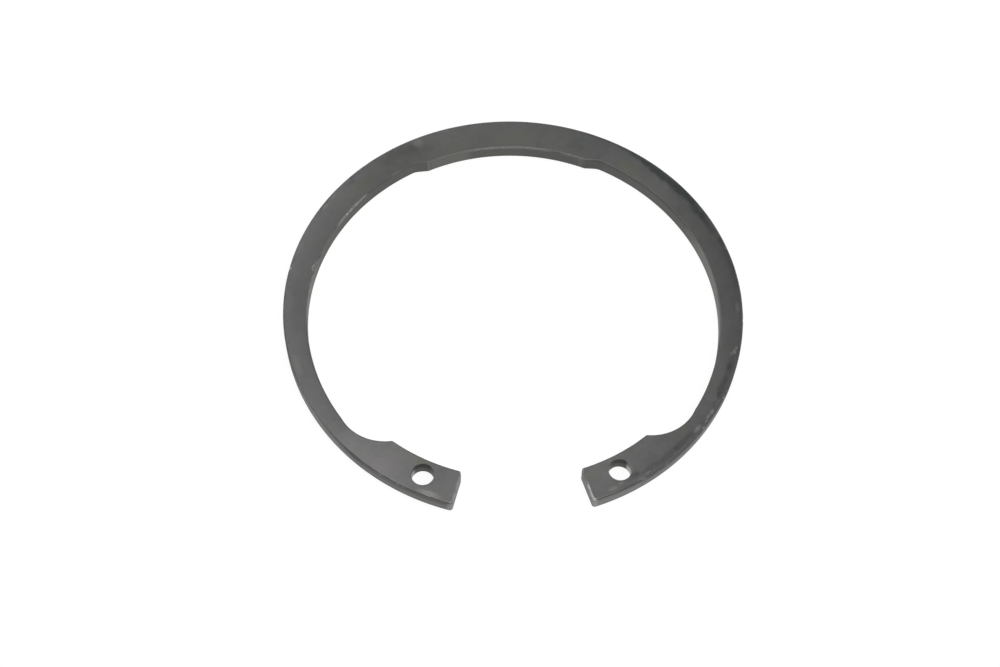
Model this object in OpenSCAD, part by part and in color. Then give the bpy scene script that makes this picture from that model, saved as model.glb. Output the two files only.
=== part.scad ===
// Internal retaining ring: a flat spring-steel ring, open at the front, that snaps into
// a groove in a round housing bore. A wide back section steps down to two spring arms
// that narrow towards two lugs, and each lug has a hole for a tip of the pliers.
//
// The ring lies in the XY plane, with its outer edge centred on the Z axis and half its
// thickness on either side of Z = 0. The back is at +Y and the open front at -Y.
// Angles are measured round the ring from the middle of the back.

/* [Ring] */
// Outer diameter of the free ring
outer_d = 74.5; // [60:0.5:90]
// Thickness of the sheet
thickness = 2.5; // [1.5:0.1:4]
// Angle between the end faces of the two lugs
gap_angle = 33.6; // [24:0.2:44]

/* [Back section] */
// Radial width of the back section
back_w = 5.7; // [5.2:0.05:7]
// Angle that the back section takes up, from step to step
back_angle = 50; // [30:1:70]
// Angle between the step's edge and the back section's own edge
step_slope = 20; // [12:1:40]
// Radius that blends the step into the spring arm
step_r = 2.5; // [1:0.1:4]

/* [Spring arms] */
// Radial width of an arm beside the back section
arm_w_back = 4.85; // [4:0.05:5.05]
// Radial width of an arm at the side of the ring
arm_w_side = 3.95; // [3.3:0.05:4.5]
// Radial width of an arm where the lug's root begins
arm_w_front = 2.85; // [2.2:0.05:3.5]
// Angle at which the lug's root begins
arm_end = 130.2; // [120:0.1:136]

/* [Lugs] */
// Radial height of a lug
lug_h = 5.8; // [5.1:0.05:8]
// Radius of the hollow between an arm and its lug
root_r = 7.8; // [4:0.1:9]
// Length of the lug's inner corner cut, along the end face
corner_face = 0.6; // [0.3:0.05:1.2]
// Length of the lug's inner corner cut, along the inner edge
corner_edge = 0.3; // [0.2:0.05:1.2]
// Length of the lug's outer corner cut, along both of its sides
corner_outer = 0.3; // [0.2:0.05:0.6]

/* [Plier holes] */
// Diameter of a plier hole
hole_d = 3.5; // [2:0.1:4]
// Distance from a hole's centre to the ring's outer edge
hole_inset = 3.2; // [2.6:0.05:4]
// Distance from a hole's centre to the lug's end face
hole_to_end = 5.7; // [3:0.1:7]

/* [Edges] */
// Rounding of the edges that the punch drew in, on the upper face
upper_edge_r = 0.25; // [0.1:0.05:0.6]
// Rounding of the edges of the lower face
lower_edge_r = 0.1; // [0.05:0.05:0.4]
// Rounding of both rims of a plier hole
hole_edge_r = 0.15; // [0.05:0.05:0.4]

/* [Hidden] */
$fn = 180;

outer_r = outer_d / 2;
top_z = thickness / 2;
// How far a cutter runs past what it cuts
past = 1;
// Angle at which a rounded edge runs out onto the flat face
run_out = 12;
// Angle at which the arc of a root or a step crosses the edge beside it
crossing = 7;

back_half = back_angle / 2;
gap_half = gap_angle / 2;
side_angle = 90;

// A point at a distance from the centre and an angle from the middle of the back
function polar(r, angle) = r * [sin(angle), cos(angle)];
function angle_of(v) = atan2(v.x, v.y);
function unit(v) = v / norm(v);

// The centre of the circle through three points
function circle_centre(a, b, c) =
    let (
        ab = b - a,
        ac = c - a,
        d = 2 * (ab.x * ac.y - ab.y * ac.x),
        ab2 = ab * ab,
        ac2 = ac * ac
    )
    a + [ac.y * ab2 - ab.y * ac2, ab.x * ac2 - ac.x * ab2] / d;

// The inner edge of an arm is one arc through its three widths
arm_back = polar(outer_r - arm_w_back, back_half);
arm_side = polar(outer_r - arm_w_side, side_angle);
arm_front = polar(outer_r - arm_w_front, arm_end);
arm_c = circle_centre(arm_back, arm_side, arm_front);
arm_r = norm(arm_front - arm_c);

// Two arcs of radii r1 and r2 that cross at the crossing angle have their centres this
// far apart
function centres_apart(r1, r2) = sqrt(r1 * r1 + r2 * r2 - 2 * r1 * r2 * cos(crossing));

// The lug's root is a hollow whose arc leaves the arm's edge where the arm ends
root_c = arm_front - root_r * polar(1, angle_of(arm_front - arm_c) + crossing);

// The step leaves the back section's edge in a straight line, and its blend crosses
// both that line and the arm's arc
step_start = polar(outer_r - back_w, back_half);
step_dir = polar(1, side_angle + back_half - step_slope);
step_in = [step_dir.y, -step_dir.x];
blend_off = step_start + step_r * cos(crossing) * step_in - arm_c;
blend_along = -(blend_off * step_dir) + sqrt(pow(blend_off * step_dir, 2)
    - blend_off * blend_off + pow(centres_apart(arm_r, step_r), 2));
step_c = arm_c + blend_off + blend_along * step_dir;

// The end face of the lug runs along a radius, and the hole is measured from it
face_angle = 180 - gap_half;
hole_c = beside_face(outer_r - hole_inset, hole_to_end);

// What a rounding of radius e takes away where a wall at x = r faces right
module outer_rim(r, e) {
    translate([r - e, top_z - e * cos(run_out)]) difference() {
        square(e + past);
        circle(e);
    }
}

// What a rounding of radius e takes away where a wall at x = r faces left
module inner_rim(r, e) {
    translate([r, top_z - e * cos(run_out)]) difference() {
        square([e, e + past]);
        translate([e, 0]) circle(e);
    }
}

// Section of a cutter that reaches from x = 0 to a wall at x = r and leaves rounded rims
module cutter_section(r, upper_e, lower_e) {
    translate([0, -top_z - past]) square([r, thickness + 2 * past]);
    inner_rim(r, upper_e);
    mirror([0, 1]) inner_rim(r, lower_e);
}

// Round cutter centred on c, over all of its circle or over a stretch of angles
module round_cutter(c, r, upper_e, lower_e, from = 0, to = 360) {
    translate(c) rotate(side_angle - to)
        rotate_extrude(angle = to - from) cutter_section(r, upper_e, lower_e);
}

// Cutter with a straight wall, from point p along a direction, with the material on
// the left of that direction
module straight_cutter(p, direction, length, reach) {
    translate(p) rotate([90, 0, side_angle - angle_of([-direction.y, direction.x])])
        linear_extrude(length) translate([-reach, 0])
            cutter_section(reach, upper_edge_r, lower_edge_r);
}

// Cutter that takes the corner off between points p and q
module corner_cutter(p, q) {
    d = unit(q - p);
    straight_cutter(p - past * d, d, norm(q - p) + 2 * past, past);
}

// Right half of the disc that the ring is cut from
module half_blank() {
    rotate(-side_angle) rotate_extrude(angle = 2 * side_angle) difference() {
        translate([0, -top_z]) square([outer_r, thickness]);
        outer_rim(outer_r, upper_edge_r);
        mirror([0, 1]) outer_rim(outer_r, lower_edge_r);
    }
}

module edge_cutter(c, r, from = 0, to = 360) {
    round_cutter(c, r, upper_edge_r, lower_edge_r, from, to);
}

// The band that the back section, the arm and the lug share
module band() {
    difference() {
        half_blank();
        edge_cutter([0, 0], outer_r - back_w, -side_angle, side_angle);
        edge_cutter([0, 0], outer_r - lug_h, side_angle, 3 * side_angle);
        edge_cutter(arm_c, arm_r, angle_of(step_c - arm_c), angle_of(root_c - arm_c));
    }
}

// The band with the step at one end of the arm and the lug's root at the other
module stepped_band() {
    difference() {
        band();
        edge_cutter(root_c, root_r);
        edge_cutter(step_c, step_r);
        straight_cutter(step_start - past * step_dir, step_dir, blend_along + past, step_r);
    }
}

// The same, cut off at the end face of the lug
module open_band() {
    difference() {
        stepped_band();
        straight_cutter(polar(outer_r / 2, face_angle), polar(1, face_angle),
            outer_r / 2 + past, outer_r * sin(gap_half) + past);
    }
}

// The point at distance r from the ring's centre that lies the given distance off the
// end face's plane
function beside_face(r, distance) = polar(r, face_angle - asin(distance / r));

module half_ring() {
    lug_r = outer_r - lug_h;
    difference() {
        open_band();
        corner_cutter(beside_face(lug_r, corner_edge),
            polar(lug_r + corner_face, face_angle));
        corner_cutter(polar(outer_r - corner_outer, face_angle),
            beside_face(outer_r, corner_outer));
        round_cutter(hole_c, hole_d / 2, hole_edge_r, hole_edge_r);
    }
}

module retaining_ring() {
    color("dimgray") {
        half_ring();
        mirror([1, 0]) half_ring();
    }
}

retaining_ring();
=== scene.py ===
import math

import bpy
from mathutils import Matrix, Vector


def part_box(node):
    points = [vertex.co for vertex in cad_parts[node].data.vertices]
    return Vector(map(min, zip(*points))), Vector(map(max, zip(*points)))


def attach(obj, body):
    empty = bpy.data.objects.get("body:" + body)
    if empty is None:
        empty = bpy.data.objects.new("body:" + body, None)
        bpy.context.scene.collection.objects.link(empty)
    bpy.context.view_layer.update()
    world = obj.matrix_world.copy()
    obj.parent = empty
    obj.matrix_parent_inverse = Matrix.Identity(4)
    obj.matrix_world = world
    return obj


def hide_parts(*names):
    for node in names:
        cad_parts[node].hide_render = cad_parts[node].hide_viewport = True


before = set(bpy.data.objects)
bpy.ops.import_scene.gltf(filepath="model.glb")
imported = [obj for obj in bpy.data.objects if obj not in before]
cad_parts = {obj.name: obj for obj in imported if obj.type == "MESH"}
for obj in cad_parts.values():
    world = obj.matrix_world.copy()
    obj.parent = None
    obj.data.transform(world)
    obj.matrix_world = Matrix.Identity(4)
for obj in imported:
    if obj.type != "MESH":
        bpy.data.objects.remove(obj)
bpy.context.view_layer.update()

ringLow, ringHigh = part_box("retaining_ring")
mm = 0.001
outerRadius = (ringHigh.x - ringLow.x) / 2
thickness = ringHigh.z - ringLow.z
topZ = thickness / 2
print("frame loaded: ring %.2f mm across, %.2f mm thick" % (2000 * outerRadius, 1000 * thickness))


# Wraps a socket, so that maths on it can be written as an expression
class Sock:
    def __init__(self, graph, socket):
        self.graph = graph
        self.socket = socket

    def __add__(self, other):
        return self.graph.math("ADD", self, other)

    def __sub__(self, other):
        return self.graph.math("SUBTRACT", self, other)

    def __rsub__(self, other):
        return self.graph.math("SUBTRACT", other, self)

    def __mul__(self, other):
        return self.graph.math("MULTIPLY", self, other)

    def __truediv__(self, other):
        return self.graph.math("DIVIDE", self, other)

    def __rtruediv__(self, other):
        return self.graph.math("DIVIDE", other, self)

    __radd__ = __add__
    __rmul__ = __mul__


# Builds the nodes of one tree, for a material or for Geometry Nodes
class Graph:
    def __init__(self, tree):
        self.tree = tree
        tree.nodes.clear()

    # A value is a socket to link, several sockets for one input, or a plain setting
    def feed(self, socket, value):
        if isinstance(value, Sock):
            self.tree.links.new(value.socket, socket)
        elif isinstance(value, (list, tuple)) and value and isinstance(value[0], Sock):
            for part in value:
                self.tree.links.new(part.socket, socket)
        else:
            socket.default_value = value

    # Gives the socket named or numbered by out, or the node itself where out is None
    def node(self, kind, settings=None, sockets=None, out=0):
        made = self.tree.nodes.new(kind)
        for name, value in (settings or {}).items():
            setattr(made, name, value)
        for name, value in (sockets or {}).items():
            self.feed(made.inputs[name], value)
        if out is None:
            return made
        return Sock(self, made.outputs[out])

    def math(self, operation, *values):
        return self.node("ShaderNodeMath", {"operation": operation}, dict(enumerate(values)))

    def vectorMath(self, operation, *values, out="Vector"):
        return self.node("ShaderNodeVectorMath", {"operation": operation},
                         dict(enumerate(values)), out)

    def scaled(self, vector, factor):
        return self.node("ShaderNodeVectorMath", {"operation": "SCALE"},
                         {0: vector, "Scale": factor})

    # From start below low to stop above high, smooth between them
    def rise(self, value, low, high, start=0.0, stop=1.0):
        return self.node("ShaderNodeMapRange", {"interpolation_type": "SMOOTHSTEP"},
                         {"Value": value, "From Min": low, "From Max": high,
                          "To Min": start, "To Max": stop})

    # 1 between two values, fading out over a soft margin on either side
    def window(self, value, low, high, soft):
        return self.rise(value, low - soft, low) * (1 - self.rise(value, high, high + soft))

    def atMostOne(self, value):
        return self.math("MINIMUM", value, 1.0)

    def separate(self, value, axis):
        return self.node("ShaderNodeSeparateXYZ", None, {0: value}, axis)

    def mixColour(self, factor, first, second):
        return self.node("ShaderNodeMix", {"data_type": "RGBA"},
                         {0: factor, 6: first, 7: second}, 2)     # 6, 7 and 2 carry colours


# The ring's outline, with angles in degrees from the middle of the back
ringShape = {
    "backWidth": 5.7 * mm,       # radial width of the back section
    "backAngle": 25,             # half of the angle that it takes up
    "stepSlope": 20,             # the step's angle off the back section's edge
    "stepRadius": 2.5 * mm,
    "armWidths": (4.85 * mm, 3.95 * mm, 2.85 * mm),   # at the back, at the side, at the front
    "armAngles": (25, 90, 130.2),                     # where those widths are
    "rootRadius": 7.8 * mm,      # hollow between an arm and its lug
    "lugHeight": 5.8 * mm,
    "gapAngle": 16.8,            # half of the angle between the lugs' end faces
    "innerCorner": (0.6 * mm, 0.3 * mm),   # cut along the end face and along the inner edge
    "outerCorner": 0.3 * mm,     # cut along both sides
    "holeInset": 3.2 * mm,       # from a plier hole's centre to the outer edge
    "holeToEnd": 5.7 * mm,       # from a plier hole's centre to the lug's end face
    "crossing": 7,               # angle at which neighbouring arcs cross
    "sampling": 0.05 * mm,       # spacing of the outline's first points
}
faceAngle = 180 - ringShape["gapAngle"]


def linked(name, data):
    made = bpy.data.objects.new(name, data)
    bpy.context.scene.collection.objects.link(made)
    return made


def polar(radius, angle):
    turn = math.radians(angle)
    return Vector((radius * math.sin(turn), radius * math.cos(turn)))


def angleOf(v):
    return math.degrees(math.atan2(v.x, v.y))


def circleCentre(a, b, c):
    ab, ac = b - a, c - a
    d = 2 * (ab.x * ac.y - ab.y * ac.x)
    return a + Vector((ac.y * ab.length_squared - ab.y * ac.length_squared,
                       ab.x * ac.length_squared - ac.x * ab.length_squared)) / d


# The point at a radius that lies a distance off the end face's plane
def besideFace(radius, distance):
    return polar(radius, faceAngle - math.degrees(math.asin(distance / radius)))


# Where two circles meet, the meeting point that lies nearer to a hint
def circlesMeet(c1, r1, c2, r2, hint):
    between = c2 - c1
    d = between.length
    along = (d * d + r1 * r1 - r2 * r2) / (2 * d)
    off = math.sqrt(max(r1 * r1 - along * along, 0))
    base = c1 + between * along / d
    side = Vector((-between.y, between.x)) * off / d
    return min((base + side, base - side), key=lambda p: (p - hint).length)


# Points of an arc, without its last: turn is 1 clockwise and -1 the other way
def arcPoints(centre, start, end, turn):
    radius = (start - centre).length
    first, last = angleOf(start - centre), angleOf(end - centre)
    sweep = (last - first) % 360 if turn > 0 else -((first - last) % 360)
    count = max(2, int(abs(math.radians(sweep)) * radius / ringShape["sampling"]))
    return [centre + polar(radius, first + sweep * k / count) for k in range(count)]


def linePoints(start, end):
    count = max(2, int((end - start).length / ringShape["sampling"]))
    return [start.lerp(end, k / count) for k in range(count)]


# The right half of the outline, from the back's outer edge round to the back's inner edge
def halfOutline(s):
    origin = Vector((0, 0))
    backRadius = outerRadius - s["backWidth"]
    lugRadius = outerRadius - s["lugHeight"]
    armPoints = [polar(outerRadius - w, a) for w, a in zip(s["armWidths"], s["armAngles"])]
    armCentre = circleCentre(*armPoints)
    armRadius = (armPoints[2] - armCentre).length
    rootWay = angleOf(armPoints[2] - armCentre) + s["crossing"]
    rootCentre = armPoints[2] - polar(s["rootRadius"], rootWay)
    nearArm, nearLug = polar(outerRadius, 120), polar(lugRadius, 142)   # hints
    rootStart = circlesMeet(armCentre, armRadius, rootCentre, s["rootRadius"], nearArm)
    lugCorner = circlesMeet(origin, lugRadius, rootCentre, s["rootRadius"], nearLug)
    stepStart = polar(backRadius, s["backAngle"])
    stepWay = polar(1, 90 + s["backAngle"] - s["stepSlope"])
    stepIn = Vector((stepWay.y, -stepWay.x))
    reach = armRadius - s["stepRadius"]     # the blend touches the arm's arc from inside
    off = stepStart + s["stepRadius"] * stepIn - armCentre
    ahead = off.dot(stepWay)
    along = -ahead + math.sqrt(ahead ** 2 - off.length_squared + reach ** 2)
    stepCentre = armCentre + off + along * stepWay
    stepEnd = stepStart + along * stepWay
    blendEnd = armCentre + (stepCentre - armCentre).normalized() * armRadius
    outerStop = besideFace(outerRadius, s["outerCorner"])
    faceStart = polar(outerRadius - s["outerCorner"], faceAngle)
    faceStop = polar(lugRadius + s["innerCorner"][0], faceAngle)
    lugStart = besideFace(lugRadius, s["innerCorner"][1])
    points = arcPoints(origin, polar(outerRadius, 0), outerStop, 1)
    points += linePoints(outerStop, faceStart) + linePoints(faceStart, faceStop)
    points += linePoints(faceStop, lugStart)
    points += arcPoints(origin, lugStart, lugCorner, -1)
    points += arcPoints(rootCentre, lugCorner, rootStart, -1)
    points += arcPoints(armCentre, rootStart, blendEnd, -1)
    points += arcPoints(stepCentre, blendEnd, stepEnd, -1)
    points += linePoints(stepEnd, stepStart)
    points += arcPoints(origin, stepStart, polar(backRadius, 0), -1)
    return points + [polar(backRadius, 0)]


def outlineCurve():
    half = halfOutline(ringShape)
    loop = [Vector((-p.x, p.y)) for p in half] + half[-2:0:-1]     # anticlockwise from above
    curve = bpy.data.curves.new("ringOutline", "CURVE")
    curve.dimensions = "3D"
    spline = curve.splines.new("POLY")
    spline.points.add(len(loop) - 1)
    for point, place in zip(spline.points, loop):
        point.co = (place.x, place.y, 0, 1)
    spline.use_cyclic_u = True
    print("outline drawn: %d points" % len(loop))
    return linked("ringOutline", curve)


# The ring's solid: a rim swept along the outline and round both plier holes
holeCentre = besideFace(outerRadius - ringShape["holeInset"], ringShape["holeToEnd"])
ringRim = {
    "Spacing": 0.135 * mm,       # between points along the outline
    "Corner passes": 1,          # smoothing passes that take the sharpness off corners
    "Upper rounding": 0.25 * mm,
    "Lower rounding": 0.10 * mm,
    "Hole rounding": 0.15 * mm,
    "Setback": 0.02 * mm,        # how far the torn lower half of the wall lies inside
    "Lip": 0.03 * mm,            # flat strip between a rounding and the flat face
    "Hole radius": 1.75 * mm,
    "Hole X": holeCentre.x,
    "Hole Y": holeCentre.y,
    "Hole points": 96,
    "Upper steps": 8,            # points of each stretch of the rim's section
    "Wall steps": 12,
    "Lower steps": 5,
    "Weld": 0.002 * mm,
    "Waviness": 0.018 * mm,
    "Wave size": 2.2 * mm,
    "Nick depth": 0.06 * mm,
    "Nick size": 0.55 * mm,
    "Seed": 11.0,
}


def ringTree(material):
    tree = bpy.data.node_groups.new("ringFromOutline", "GeometryNodeTree")
    tree.is_modifier = True
    tree.interface.new_socket("Geometry", in_out="INPUT", socket_type="NodeSocketGeometry")
    for name, value in ringRim.items():
        kind = "NodeSocketInt" if isinstance(value, int) else "NodeSocketFloat"
        tree.interface.new_socket(name, in_out="INPUT", socket_type=kind)
    tree.interface.new_socket("Geometry", in_out="OUTPUT", socket_type="NodeSocketGeometry")
    g = Graph(tree)
    given = g.node("NodeGroupInput", out=None)
    asked = {name: Sock(g, given.outputs[name]) for name in ringRim}
    position = g.node("GeometryNodeInputPosition")

    def vector(x=0.0, y=0.0, z=0.0):
        return g.node("ShaderNodeCombineXYZ", None, {"X": x, "Y": y, "Z": z})

    def keepRim(curve, value):
        return g.node("GeometryNodeStoreNamedAttribute", {"data_type": "FLOAT", "domain": "POINT"},
                      {"Geometry": curve, "Name": "rim", "Value": value})

    # One straight stretch of the section. The rim value is 0 on the flat face and 1 off it.
    def stretch(start, end, rimStart, rimEnd, count):
        line = g.node("GeometryNodeCurvePrimitiveLine", None, {"Start": start, "End": end})
        line = g.node("GeometryNodeResampleCurve", None, {"Curve": line, "Count": count})
        factor = g.node("GeometryNodeSplineParameter")
        return keepRim(line, rimStart + factor * (rimEnd - rimStart))

    # A quarter turn of the section, between the wall and a flat face: side is 1 above, -1 below
    def quarter(rounding, side, count):
        arc = g.node("GeometryNodeCurveArc", None,
                     {"Resolution": count, "Radius": rounding,
                      "Start Angle": math.pi / 2 if side > 0 else 0.0,
                      "Sweep Angle": -math.pi / 2})
        centre = vector(-1 * rounding, side * (topZ - rounding))
        return keepRim(g.node("GeometryNodeTransform", None,
                              {"Geometry": arc, "Translation": centre}), 1.0)

    # The rim's section: x is how far a point stands out of the outline, and y its height
    def section(upper, lower, setback):
        lipEnd = -1 * asked["Lip"]
        stretches = [
            stretch(vector(lipEnd - upper, topZ), vector(-1 * upper, topZ), 0.0, 1.0, 2),
            quarter(upper, 1, asked["Upper steps"]),
            stretch(vector(0.0, topZ - upper), vector(0.0, lower - topZ), 1.0, 1.0,
                    asked["Wall steps"]),
            quarter(lower, -1, asked["Lower steps"]),
            stretch(vector(-1 * lower, -topZ), vector(lipEnd - lower, -topZ), 1.0, 0.0, 2),
        ]
        joined = g.node("GeometryNodeJoinGeometry", None, {"Geometry": stretches})
        torn = 1 - g.rise(g.separate(position, 1), -0.30 * topZ, 0.0)
        joined = g.node("GeometryNodeSetPosition", None,
                        {"Geometry": joined, "Offset": vector(torn * setback * -1)})
        return g.node("GeometryNodeTransform", None, {"Geometry": joined, "Scale": (1, -1, 1)})

    def sweep(path, profile):
        path = g.node("GeometryNodeSetCurveNormal", {"mode": "Z_UP"}, {"Curve": path})
        return g.node("GeometryNodeCurveToMesh", None, {"Curve": path, "Profile Curve": profile})

    def plierHole(side):
        circle = g.node("GeometryNodeCurvePrimitiveCircle", None,
                        {"Resolution": asked["Hole points"], "Radius": asked["Hole radius"]})
        circle = g.node("GeometryNodeReverseCurve", None, {"Curve": circle})
        centre = vector(asked["Hole X"] * side, asked["Hole Y"])
        return g.node("GeometryNodeTransform", None, {"Geometry": circle, "Translation": centre})

    def welded(geometry):
        return g.node("GeometryNodeMergeByDistance", None,
                      {"Geometry": geometry, "Distance": asked["Weld"]})

    outline = g.node("GeometryNodeResampleCurve", {"mode": "LENGTH"},
                     {"Curve": Sock(g, given.outputs["Geometry"]), "Length": asked["Spacing"]})
    rounded = g.node("GeometryNodeBlurAttribute", {"data_type": "FLOAT_VECTOR"},
                     {"Value": position, "Iterations": asked["Corner passes"], "Weight": 0.5})
    outline = g.node("GeometryNodeSetPosition", None, {"Geometry": outline, "Position": rounded})
    holes = g.node("GeometryNodeJoinGeometry", None, {"Geometry": [plierHole(1), plierHole(-1)]})
    ringSection = section(asked["Upper rounding"], asked["Lower rounding"], asked["Setback"])
    holeSection = section(asked["Hole rounding"], asked["Hole rounding"], 0.0)
    rims = welded(g.node("GeometryNodeJoinGeometry", None, {"Geometry": [
        sweep(outline, ringSection), sweep(holes, holeSection)]}))

    # A flat face is filled in between the open edges of the rims
    def flatFace(side):
        beside = g.node("GeometryNodeInputMeshEdgeNeighbors")     # faces on an edge
        openEdge = g.math("COMPARE", beside, 1.0, 0.1)
        thisSide = g.math("GREATER_THAN", g.separate(position, 2) * side, 0.5 * topZ)
        loops = g.node("GeometryNodeMeshToCurve", None,
                       {"Mesh": rims, "Selection": openEdge * thisSide})
        face = g.node("GeometryNodeFillCurve", {"mode": "TRIANGLES"}, {"Curve": loops})
        return g.node("GeometryNodeTransform", None,
                      {"Geometry": face, "Translation": (0, 0, side * topZ)})

    lowerFace = g.node("GeometryNodeFlipFaces", None, {"Mesh": flatFace(-1)})
    solid = welded(g.node("GeometryNodeJoinGeometry", None,
                          {"Geometry": [rims, flatFace(1), lowerFace]}))

    # The wall is slightly wavy, and its edges are nicked
    height = g.separate(position, 2)
    stretched = g.vectorMath("MULTIPLY", position, (1.0, 1.0, 0.35))     # waves run upwards
    waves = g.node("ShaderNodeTexNoise", {"noise_dimensions": "4D"},
                   {"Vector": stretched, "W": asked["Seed"], "Scale": 1 / asked["Wave size"],
                    "Detail": 3.0})
    cells = g.node("ShaderNodeTexNoise", {"noise_dimensions": "4D"},
                   {"Vector": position, "W": asked["Seed"] + 7.0,
                    "Scale": 1 / asked["Nick size"], "Detail": 1.0})
    nicks = g.rise(cells, 0.68, 0.80) * g.window(height, 0.62 * topZ, 0.90 * topZ, 0.2 * topZ)
    level = g.math("ABSOLUTE", height)
    calm = 1 - g.rise(level, 0.86 * topZ, 0.985 * topZ)     # flat faces stay flat
    push = ((waves - 0.5) * asked["Waviness"] * 2 - nicks * asked["Nick depth"]) * calm
    offset = g.scaled(g.node("GeometryNodeInputNormal"), push)
    solid = g.node("GeometryNodeSetPosition", None, {"Geometry": solid, "Offset": offset})
    solid = g.node("GeometryNodeSetShadeSmooth", None, {"Geometry": solid, "Shade Smooth": True})
    solid = g.node("GeometryNodeRealizeInstances", None, {"Geometry": solid})
    solid = g.node("GeometryNodeSetMaterial", None, {"Geometry": solid, "Material": material})
    g.node("NodeGroupOutput", None, {"Geometry": solid}, None)
    return tree


def ringPiece(material):
    guide = outlineCurve()
    tree = ringTree(material)
    modifier = guide.modifiers.new("ringFromOutline", "NODES")
    modifier.node_group = tree
    for item in tree.interface.items_tree:
        if item.in_out == "INPUT" and item.name in ringRim:
            modifier[item.identifier] = ringRim[item.name]
    bpy.context.view_layer.update()
    depsgraph = bpy.context.evaluated_depsgraph_get()
    mesh = bpy.data.meshes.new_from_object(guide.evaluated_get(depsgraph), depsgraph=depsgraph)
    mesh.name = "ringBody"
    guide.modifiers.remove(modifier)
    bpy.data.objects.remove(guide)
    return linked("ringBody", mesh)


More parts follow.
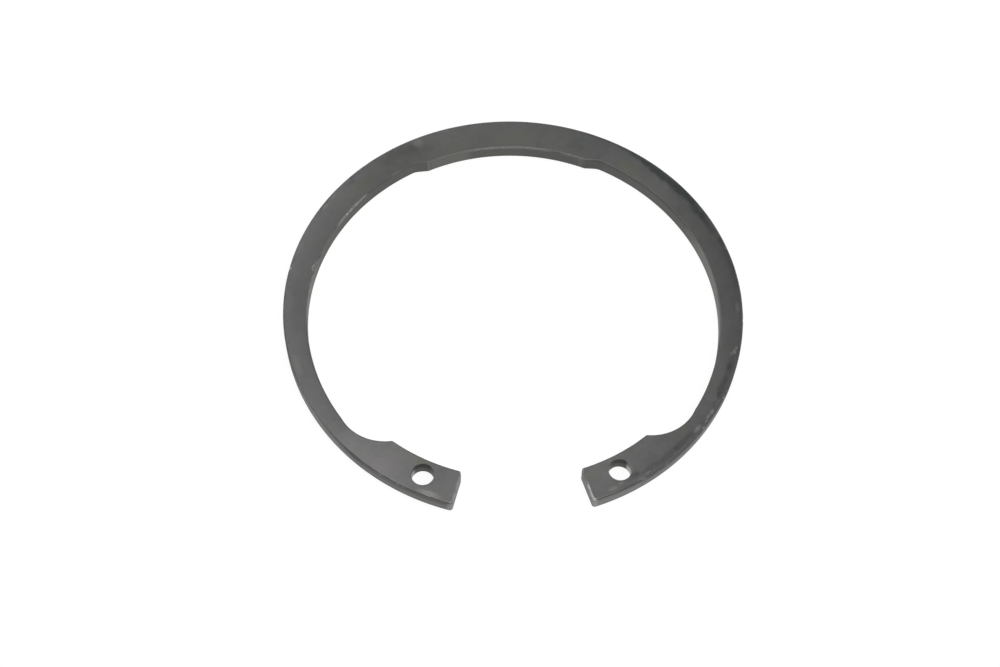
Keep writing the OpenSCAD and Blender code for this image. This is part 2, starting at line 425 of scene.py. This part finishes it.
# The steel, with its tones from dark to bare
steelLook = {
    "dark": (0.092, 0.092, 0.091, 1),      # the phosphate coat, darkest and lightest
    "light": (0.110, 0.110, 0.109, 1),
    "olive": (0.103, 0.106, 0.091, 1),     # thin patches of dried oil
    "teal": (0.098, 0.106, 0.104, 1),
    "plum": (0.118, 0.104, 0.108, 1),
    "oil": (0.055, 0.062, 0.060, 1),       # wet oil beside the outer edge; also painted shade on the walls and the inner edge
    "soot": (0.052, 0.052, 0.052, 1),      # dry smudges; also painted shade on the outer wall and beside the right step
    "rust": (0.125, 0.098, 0.070, 1),
    "bare": (0.50, 0.495, 0.475, 1),       # steel that shows where the coat is rubbed off; also painted highlights on the edges, walls and holes
    "outerWall": (0.20, 0.20, 0.195, 1),   # the punched wall
    "innerWall": (0.092, 0.092, 0.083, 1),
    # painted shade, high on the rear of each plier hole's wall
    "holeTop": (0.028, 0.028, 0.025, 1),
    "holeReflection": (0.85, 0.85, 0.84, 1),     # painted reflection, low on one side of each plier hole
    "metallic": 0.85,
    "wallMetallic": 0.30,
    "roughness": 0.44,
    "wallRoughness": 0.62,
    "oilRoughness": 0.30,
    "roughMottle": 0.10,         # how far mottling and specks change the roughness
    "roughSpeck": 0.04,
    "specular": 0.3,
    "cloudSize": 9 * mm,
    "filmSize": 13 * mm,
    "mottleSize": 1.6 * mm,
    "speckSize": 0.35 * mm,
    "grainSize": 0.10 * mm,
    "scoreSize": 0.16 * mm,      # width of the upright scores that the punch leaves
    "chipSize": 0.7 * mm,
    "wearSize": 0.9 * mm,
    "cloudShare": 0.35,          # what clouds, mottling and specks add to the coat's tone
    "mottleShare": 0.40,
    "speckShare": 0.25,
    "tilt": 0.28,                # painted light and shade: change of the coat's brightness across an arm
    "tiltWidth": 4.5 * mm,
    "ragged": 1.3,               # how uneven the edges of the soft spots are
    "wallCover": 0.85,           # how much of the coat's tone the wall's tone hides
    "scored": 0.25,              # how strong each kind of mark and of painted light and shade is, from here to cornerHighlight
    "glint": 0.4,
    "paintedShade": 0.6,
    "chipped": 0.4,
    "worn": 0.30,
    "shine": 0.30,
    # painted highlight along the end faces' upper edges
    "endHighlight": 0.2,
    "strongEndHighlight": 0.6,           # painted highlight added on the right end face
    "cornerHighlight": 0.25,          # painted highlight at the end faces' outer corners
    "bump": 0.35,
    "bumpDepth": 0.012 * mm,
    "grainBump": 0.35,
    "speckBump": 0.65,
    "scoreBump": 1.6,
    "tornBump": 1.5,
    # Stretches round the ring: from, to and soft margin in degrees, then the strength
    "stretches": {
        "coat": [(-146, -134, 9, 0.22), (-126, -84, 8, -0.05), (-14, 12, 12, 0.10),
                 (62, 104, 12, -0.10), (33, 50, 8, 0.09), (128, 150, 8, -0.05),
                 (-42, -30, 6, -0.04), (-70, -52, 8, 0.06)],   # change of its brightness
        "film": [(-50, 30, 15, 0.25)],                         # olive film of oil on the coat
        "shinyEdge": [(-92, -80, 3, 0.6), (-77.5, -73.5, 0.5, 0.4), (-71, -61, 2, 0.3),
                      (-60, -56, 1, 0.9), (-55.5, -51.5, 0.8, 1.5), (-51, -48, 2, 0.9),
                      (-10, 12, 3, 0.6), (18, 24, 1.5, 0.4), (72, 86, 4, 0.4)],   # inner edge, bright: partly wear, partly painted highlight
        "shadedEdge": [(29, 62, 4, 0.40), (-47, -28, 3, 0.30)],  # painted shade on the inner edge
        "darkOuterEdge": [(112, 152, 6, 0.35)],                    # outer edge, darker
        "lightWall": [(-92, -82, 12, 0.13), (-23, -13, 3, 0.08), (44, 64, 8, 0.025),
                      (74, 96, 12, 0.19), (-25.1, -24.8, 0.3, 0.12),
                      (23, 25, 0.4, 0.05)],                    # painted light on the inner wall
        "shadedWall": [(-44, -36, 5, 0.25), (8, 21, 5, 0.3)],    # painted shade on the inner wall
        "stepWall": [(25.5, 29, 2, 1.0)],                      # painted shade on the inner wall below the right step
        "outerWall": [(-98, -84, 14, 0.35)],                   # painted shade on a stretch of the outer wall
    },
    # Painted shade on stretches of the outer wall: from, to, soft margin, strength above and below
    "wallShades": [(-165, -138, 10, 0.75, 0.25), (-136, -128, 6, 0.30, 0.0),
                   (-108, -92, 13, 0.50, 0.55), (103, 114, 11, 0.60, 0.65),
                   (119, 147, 6, 0.72, 0.15), (150, 165, 4, 0.20, 0.0)],
    # Soft spots on the upper face, by tint: angle, distance inside the outer edge, half of the
    # length and half of the width in millimetres, strength
    "marks": {
        "olive": [(-154.5, 0.1, 3.0, 0.5, 0.5), (-151, 5.2, 2.5, 0.9, 0.9),
                  (-53, 1.8, 2.5, 1.2, 0.4), (-44.5, 2.8, 4.0, 1.6, 0.9),
                  (-37, 1.2, 3.0, 1.0, 0.5), (-32, 5.0, 3.0, 1.0, 0.8), (-17, 4.3, 4.0, 1.0, 0.5),
                  (2.5, 3.6, 5.0, 2.2, 0.8), (21, 4.6, 4.0, 0.9, 0.5), (37.5, 3.2, 3.2, 1.8, 0.9),
                  (50.5, 4.0, 6.0, 1.2, 0.6), (67, 3.0, 3.4, 1.6, 0.7),
                  (105.3, 2.3, 1.6, 1.0, 0.8), (117, 2.4, 2.0, 0.6, 0.5),
                  (133, 2.2, 1.8, 0.8, 0.8), (151.5, 5.2, 3.0, 0.6, 0.6),
                  (158, 1.2, 1.4, 0.8, 0.5), (161, 4.0, 1.2, 1.4, 0.9)],
        "teal": [(-7, 1.5, 1.6, 1.2, 0.5), (5, 0.6, 2.5, 0.8, 0.7), (22, 1.6, 4.5, 1.4, 0.7),
                 (35.5, 1.8, 2.0, 0.8, 0.8), (47, 4.4, 2.6, 1.4, 0.7), (59, 2.4, 2.6, 0.8, 0.6)],
        "plum": [(-143.5, 1.6, 2.6, 2.4, 0.45), (49, 3.0, 1.4, 0.7, 0.4),
                 (161, 2.0, 1.2, 1.2, 0.4)],
        "rust": [(-160, 0.1, 2.0, 0.5, 0.35)],
        "soot": [(-86, 2.4, 6.0, 1.6, 0.14), (-47, 1.0, 1.8, 0.6, 0.22),
                 (-33, 1.6, 3.4, 1.6, 0.28), (-28.5, 1.6, 2.4, 1.8, 0.20),
                 (-26.6, 2.0, 0.9, 1.9, 0.30), (-23.5, 3.0, 2.2, 1.0, 0.20),
                 (-19, 0.7, 1.2, 0.5, 0.20), (21, 3.0, 3.5, 2.0, 0.12),
                 # the soot spot at 29.5 degrees, beside the right step, is painted shade
                 (29.5, 5.2, 2.4, 0.7, 0.3), (63.2, 0.9, 0.7, 1.0, 0.4),
                 (71.6, 0.5, 0.6, 0.4, 0.8), (105, 0.35, 1.4, 0.2, 0.3),
                 (109, 1.0, 2.2, 0.75, 0.5), (112.5, 1.0, 2.6, 0.85, 0.52),
                 (116.5, 1.0, 2.6, 0.85, 0.57), (119.6, 0.8, 1.1, 0.7, 0.6),
                 (122, 0.9, 0.9, 0.5, 0.3), (128.6, 0.8, 0.7, 0.5, 0.35),
                 (133, 0.9, 1.2, 0.6, 0.45), (136.8, 1.0, 2.2, 0.8, 0.6),
                 (141, 1.0, 2.6, 0.8, 0.5), (144.5, 2.1, 2.6, 1.3, 0.10),
                 (146, 1.0, 2.8, 0.7, 0.40), (150.8, 1.2, 1.2, 0.7, 0.6),
                 (153, 0.15, 5.0, 0.3, 0.35)],
        "oil": [(27, 0.3, 5.0, 0.3, 0.35), (34, 0.4, 3.0, 0.4, 0.5), (38.5, 0.6, 2.8, 0.8, 0.7),
                (42.5, 0.8, 2.8, 1.0, 0.8), (46, 1.0, 3.0, 1.2, 0.9), (50.5, 0.9, 3.2, 1.2, 0.9),
                (55, 0.8, 3.2, 1.2, 1.0), (59.5, 0.9, 2.6, 1.2, 0.8), (63.5, 1.1, 2.2, 0.7, 0.7),
                (67, 1.2, 2.4, 0.8, 0.35), (72.3, 0.7, 1.6, 0.5, 0.4), (79, 0.5, 6.0, 0.6, 0.3)],
        "bare": [(-157, 0.6, 2.3, 0.7, 0.13), (-107, 0.9, 2.8, 0.8, 0.05),
                 (-78, 0.15, 0.6, 0.35, 0.6), (-77.3, 3.9, 0.4, 0.2, 0.25),
                 (-76.5, 3.7, 0.35, 0.2, 0.3), (-75.8, 3.9, 0.4, 0.2, 0.25),
                 (-74.8, 4.0, 0.35, 0.2, 0.2), (-71.5, 0.6, 1.8, 0.6, 0.05),
                 (-57, 0.7, 1.4, 0.4, 0.09), (-53.3, 0.6, 1.0, 0.3, 0.06),
                 (-35.5, 4.7, 1.3, 0.4, 0.05), (-24.6, 1.0, 1.5, 1.2, 0.08),
                 (-16.3, 0.5, 1.0, 0.25, 0.05), (74.2, 0.25, 0.4, 0.3, 0.2),
                 (92.6, 0.9, 1.5, 0.4, 0.07), (104.6, 0.7, 0.5, 0.35, 0.15),
                 (105.8, 0.9, 0.7, 0.4, 0.17), (106.6, 1.3, 0.5, 0.3, 0.12),
                 (120.6, 0.5, 0.4, 0.3, 0.05), (124.4, 0.5, 0.7, 0.35, 0.17),
                 (126, 0.6, 0.7, 0.3, 0.15), (127.3, 0.4, 0.6, 0.25, 0.12),
                 (130.4, 0.8, 1.2, 0.5, 0.14), (148, 0.6, 0.8, 0.25, 0.08),
                 (150.5, 0.3, 0.8, 0.2, 0.1), (155.2, 1.1, 0.6, 0.3, 0.13),
                 (157.5, 0.8, 1.2, 0.45, 0.09)],
    },
}


def steelMaterial():
    look = steelLook
    material = bpy.data.materials.new("phosphatedSteel")
    material.use_nodes = True
    g = Graph(material.node_tree)
    place = g.node("ShaderNodeTexCoord", out="Object")
    x, y, z = (g.separate(place, axis) for axis in range(3))
    radius = g.math("SQRT", x * x + y * y)
    angle = g.math("ARCTAN2", x, y) * math.degrees(1)
    turn = g.math("ABSOLUTE", angle)
    inside = outerRadius - radius        # distance inside the outer edge
    rim = g.node("ShaderNodeAttribute", {"attribute_name": "rim"}, None, "Fac")
    onTop = g.rise(z, 0.55 * topZ, 0.80 * topZ)            # the upper face and its edges
    onRight = g.rise(x, 0, mm)
    outer = 1 - g.rise(inside, 0.30 * mm, 0.50 * mm)       # the outer edges and their wall
    inner = g.rise(inside, 2.0 * mm, 2.4 * mm)             # the inner half of the band
    endFace = g.rise(turn, faceAngle - 1.2, faceAngle - 0.4)

    def noise(size, seed, detail=2.0, rough=0.6, stretch=(1, 1, 1)):
        spot = g.vectorMath("MULTIPLY", place, stretch)
        return g.node("ShaderNodeTexNoise", {"noise_dimensions": "4D"},
                      {"Vector": spot, "W": seed, "Scale": 1 / size, "Detail": detail,
                       "Roughness": rough})

    clouds = noise(look["cloudSize"], 0, 3.0, 0.55)
    mottle = noise(look["mottleSize"], 3, 4.0)
    speck = noise(look["speckSize"], 5)
    grain = noise(look["grainSize"], 6)

    # The sum of the stretches of one name, on top of a start
    def along(name, start=0.0):
        total = start
        for low, high, soft, strength in look["stretches"][name]:
            total = total + g.window(angle, low, high, soft) * strength
        return total

    # The soft spots of one tint, on the upper face unrolled along its outer edge
    ribbon = g.node("ShaderNodeCombineXYZ", None,
                    {"X": angle * (outerRadius / math.degrees(1)), "Y": inside})
    uneven = (mottle - 0.5) * look["ragged"]

    def marks(tint):
        total = 0.0
        for at, depth, length, width, strength in look["marks"][tint]:
            size = (1 / (length * mm), 1 / (width * mm), 1)
            shift = (-math.radians(at) * outerRadius * size[0], -depth * mm * size[1], 0)
            spot = g.vectorMath("MULTIPLY_ADD", ribbon, size, shift)
            reach = g.vectorMath("LENGTH", spot, out="Value") + uneven
            total = total + g.rise(reach, 0.25, 1.0, strength, 0.0)
        return g.atMostOne(total) * onTop

    # The coat: clouds, mottling and specks between its dark and its light grey
    tone = clouds * look["cloudShare"] + mottle * look["mottleShare"] + speck * look["speckShare"]
    coat = g.mixColour(g.rise(tone, 0.36, 0.64), look["dark"], look["light"])
    film = g.rise(noise(look["filmSize"], 9, rough=0.5), 0.42, 0.62) * along("film")
    coat = g.mixColour(film, coat, look["olive"])
    for tint in ("olive", "teal", "plum", "rust"):
        coat = g.mixColour(marks(tint), coat, look[tint])
    across = 0.5 - inside / look["tiltWidth"]      # painted light and shade: the band is lighter on its left side
    tilt = across * x * (look["tilt"] / outerRadius)
    coat = g.scaled(coat, along("coat", 1.0) - tilt)

    # The punched wall: scored above, torn below. Towards the lugs the coat reaches further down.
    wallTop = 0.93 * topZ - outer * g.rise(turn, 128, 146) * 0.21 * topZ
    onWall = g.rise(rim, 0.6, 1.0) * (1 - g.rise(z, wallTop, wallTop + 0.10 * topZ))
    torn = 1 - g.rise(z + (mottle - 0.5) * 0.5 * mm, -0.40 * topZ, -0.15 * topZ)
    scores = noise(look["scoreSize"], 21, rough=0.5, stretch=(1, 1, 0.08))
    wall = g.mixColour(g.math("MAXIMUM", outer, endFace), look["innerWall"], look["outerWall"])
    wall = g.mixColour(g.rise(scores, 0.3, 0.7) * look["scored"], wall, look["dark"])

    # Painted shade: each hole's wall is dark above in its rear half. Painted highlights: glints at
    # its sides.
    holeX = g.math("ABSOLUTE", x) - ringRim["Hole X"]
    holeY = y - ringRim["Hole Y"]
    fromHole = g.math("SQRT", holeX * holeX + holeY * holeY) - ringRim["Hole radius"]
    inHole = 1 - g.rise(fromHole, 0.20 * mm, 0.30 * mm)
    rear = g.rise(holeY + (mottle - 0.5) * mm, 0.4 * mm, 1.2 * mm)
    holeShade = inHole * rear * g.rise(z, -0.1 * topZ, 0.35 * topZ)
    wall = g.mixColour(holeShade, wall, look["holeTop"])
    glint = inHole * g.rise(x - ringRim["Hole X"], 0.9 * mm, 1.6 * mm)
    glint = glint + inHole * g.rise(g.math("ABSOLUTE", holeX), 1.0 * mm, 1.6 * mm) * 0.5

    # Painted light and shade: lit, dull and dark stretches of the wall
    lit = along("lightWall") * (1 - outer)
    wall = g.mixColour(g.atMostOne(glint * look["glint"] + lit), wall, look["bare"])
    step = along("stepWall") * g.rise(z, -0.6 * topZ, 0.8 * topZ, 1.2, 0.6)
    paintedShade = (along("shadedWall") + step) * (1 - outer) + along("outerWall") * outer
    wall = g.mixColour(paintedShade * look["paintedShade"], wall, look["oil"])
    shadow = 0.0
    for low, high, soft, above, below in look["wallShades"]:
        strength = g.rise(z, -0.1 * topZ, 0.55 * topZ, below, above)
        shadow = shadow + g.window(angle, low, high, soft) * strength
    wall = g.mixColour(g.atMostOne(shadow * outer), wall, look["soot"])

    # Painted reflection of the floor on each hole's wall, low on the side that faces away from the
    # gap
    holeReflection = inHole * g.rise(holeX, 1.0 * mm, 1.65 * mm) * (0.5 + onRight * 0.5)
    holeReflection = holeReflection * (1 - g.rise(z, -0.1 * topZ, 0.7 * topZ))
    wall = g.mixColour(holeReflection, wall, look["holeReflection"])
    colour = g.mixColour(onWall * look["wallCover"], coat, wall)

    # Chips along the outer edge, dry smudges and wet oil
    chips = g.rise(noise(look["chipSize"], 43), 0.52, 0.66) * (1 - g.rise(turn, 95, 120))
    chips = chips * (1 - g.rise(inside, 0.35 * mm, 0.8 * mm)) * onTop
    colour = g.mixColour(chips * look["chipped"], colour, look["soot"])
    colour = g.mixColour(marks("soot"), colour, look["soot"])
    wet = marks("oil")
    colour = g.mixColour(wet, colour, look["oil"])

    # The upper edges: painted shade on the inner edge and a darker outer edge in places, elsewhere
    # worn down to bare steel, with painted highlights on the inner edge
    edge = g.window(z, 0.72 * topZ, 0.97 * topZ, 0.04 * topZ) * rim
    colour = g.mixColour(edge * inner * along("shadedEdge"), colour, look["oil"])
    colour = g.mixColour(edge * outer * along("darkOuterEdge"), colour, look["soot"])
    worn = edge * outer * g.rise(noise(look["wearSize"], 41, 3.0), 0.56, 0.72) * look["worn"]
    shine = edge * inner * along("shinyEdge") * g.rise(speck, 0.25, 0.60) * look["shine"]

    # Painted highlight along the end faces' upper edges, strongest on the right one near the outer
    # edge
    endHighlight = g.rise(z, 0.70 * topZ, 0.85 * topZ) * rim * endFace * g.rise(mottle, 0.40, 0.52)
    strong = onRight * (1 - g.rise(inside, 2.4 * mm, 3.6 * mm))
    endHighlight = endHighlight * (look["endHighlight"] + strong * look["strongEndHighlight"])
    # painted highlight at the end faces' outer corners
    corner = g.rise(turn, faceAngle - 1.6, faceAngle - 0.8) * outer * onWall
    endHighlight = endHighlight + corner * look["cornerHighlight"]
    # bare steel from marks and wear, together with painted highlights on the edges
    bare = g.atMostOne(marks("bare") + worn + shine + endHighlight)
    colour = g.mixColour(bare, colour, look["bare"])

    roughness = look["roughness"] + (mottle - 0.5) * look["roughMottle"]
    roughness = roughness + (speck - 0.5) * look["roughSpeck"]
    roughness = roughness - wet * (look["roughness"] - look["oilRoughness"])
    roughness = roughness + onWall * (look["wallRoughness"] - look["roughness"])
    metallic = look["metallic"] - onWall * (look["metallic"] - look["wallMetallic"])
    height = grain * look["grainBump"] + speck * look["speckBump"]
    height = height + onWall * (scores * look["scoreBump"] + torn * mottle * look["tornBump"])
    bump = g.node("ShaderNodeBump", None, {"Strength": look["bump"],
                                           "Distance": look["bumpDepth"], "Height": height})
    shader = g.node("ShaderNodeBsdfPrincipled", None,
                    {"Base Color": colour, "Roughness": roughness, "Metallic": metallic,
                     "Specular IOR Level": look["specular"], "Normal": bump})
    g.node("ShaderNodeOutputMaterial", None, {"Surface": shader}, None)
    print("steel made: %d nodes" % len(material.node_tree.nodes))
    return material


ring = ringPiece(steelMaterial())
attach(ring, "root")
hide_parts("retaining_ring")
print("ring made: %d faces" % len(ring.data.polygons))


# Floor and lights
studio = {
    "floorRadius": 1.5,
    "floorGap": 0.02 * mm,       # below the ring
    "coveRadius": 0.5,           # the floor curves up at its rim
    "floorPoints": 48,           # round the floor's rim
    "coveRings": 6,
    "floorGlow": 0.90,           # the floor is a light table
    "floorGrey": 0.12,
    "floorRoughness": 0.9,
    "fadeStart": 0.1,            # share of the cove's height where its glow starts to fade
    "air": 0.205,                # brightness of the room all round
    "boxSize": 0.25,
    "boxDistance": 0.60,
    # Each softbox: degrees from the ring's back, clockwise from above; height in degrees; watts
    "boxes": {"top": (0, 90, 1.32), "backLeft": (-30, 68, 0.35), "left": (-45, 45, 0.30),
              "back": (0, 45, 0.20), "right": (90, 45, 0.62), "frontRight": (135, 45, 0.70),
              "front": (180, 45, 0.44)},
}


# The table glows evenly, and its cove fades into the air of the room
def lightTable():
    material = bpy.data.materials.new("lightTable")
    material.use_nodes = True
    g = Graph(material.node_tree)
    height = g.separate(g.node("ShaderNodeTexCoord", out="Object"), 2)
    cove = studio["coveRadius"]
    grey = studio["floorGrey"]
    dim = studio["air"] / studio["floorGlow"]
    fade = g.rise(height, studio["fadeStart"] * cove, cove)
    shader = g.node("ShaderNodeBsdfPrincipled", None,
                    {"Base Color": (grey, grey, grey, 1), "Roughness": studio["floorRoughness"],
                     "Specular IOR Level": 0.0,
                     "Emission Color": g.mixColour(fade, (1, 1, 1, 1), (dim, dim, dim, 1)),
                     "Emission Strength": studio["floorGlow"]})
    g.node("ShaderNodeOutputMaterial", None, {"Surface": shader}, None)
    return material


# A flat disc, with rings that rise in a quarter turn round it
def floorPiece():
    low = ringLow.z - studio["floorGap"]
    cove = studio["coveRadius"]
    around, rings = studio["floorPoints"], studio["coveRings"]
    points = []
    for k in range(rings + 1):
        climb = math.pi / 2 * k / rings
        radius = studio["floorRadius"] + cove * math.sin(climb)
        for step in range(around):
            spot = polar(radius, -360 * step / around)
            points.append((spot.x, spot.y, low + cove * (1 - math.cos(climb))))
    faces = [list(range(around))]
    for k in range(rings):
        for step in range(around):
            after = (step + 1) % around
            faces.append((k * around + step, (k + 1) * around + step,
                          (k + 1) * around + after, k * around + after))
    mesh = bpy.data.meshes.new("floor")
    mesh.from_pydata(points, [], faces)
    mesh.shade_smooth()
    mesh.materials.append(lightTable())
    return linked("floor", mesh)


def softbox(name, turn, rise, watts):
    data = bpy.data.lights.new(name, "AREA")
    data.shape = "SQUARE"
    data.size = studio["boxSize"]
    data.energy = watts
    lamp = linked(name, data)
    climb = math.radians(rise)
    ahead = polar(math.cos(climb) * studio["boxDistance"], turn)
    lamp.location = (ahead.x, ahead.y, math.sin(climb) * studio["boxDistance"])
    lamp.rotation_euler = (-lamp.location).to_track_quat("-Z", "Y").to_euler()


floorPiece()
for name, box in studio["boxes"].items():
    softbox(name, *box)
world = bpy.data.worlds.new("studioAir")
world.use_nodes = True
air = world.node_tree.nodes["Background"]
air.inputs["Color"].default_value = (1, 1, 1, 1)
air.inputs["Strength"].default_value = studio["air"]
bpy.context.scene.world = world
bpy.context.scene.view_settings.view_transform = "Standard"
print("floor laid, %d softboxes hung" % len(studio["boxes"]))


# The camera, with angles in degrees
view = {
    "lens": 64.8,
    "sensorWidth": 36,
    "nearest": 10 * mm,          # nothing closer than this is drawn
    "elevation": 58.881,
    "azimuth": 3.963,            # off the open front, towards -X
    "roll": -2.200,
    "distance": 291.75 * mm,
    "target": (-2.294 * mm, -4.097 * mm, -1.25 * mm),
}


def cameraPiece():
    data = bpy.data.cameras.new("camera")
    data.lens = view["lens"]
    data.sensor_width = view["sensorWidth"]
    data.clip_start = view["nearest"]
    camera = linked("camera", data)
    rise, turn, roll = (math.radians(view[k]) for k in ("elevation", "azimuth", "roll"))
    away = math.cos(rise)
    back = Vector((-away * math.sin(turn), -away * math.cos(turn), math.sin(rise)))
    level = Vector((math.cos(turn), -math.sin(turn), 0))
    upright = back.cross(level)
    right = level * math.cos(roll) - upright * math.sin(roll)
    up = level * math.sin(roll) + upright * math.cos(roll)
    pose = Matrix((right, up, back)).transposed().to_4x4()
    pose.translation = Vector(view["target"]) + back * view["distance"]
    camera.matrix_world = pose
    bpy.context.scene.camera = camera


cameraPiece()
print("camera set")
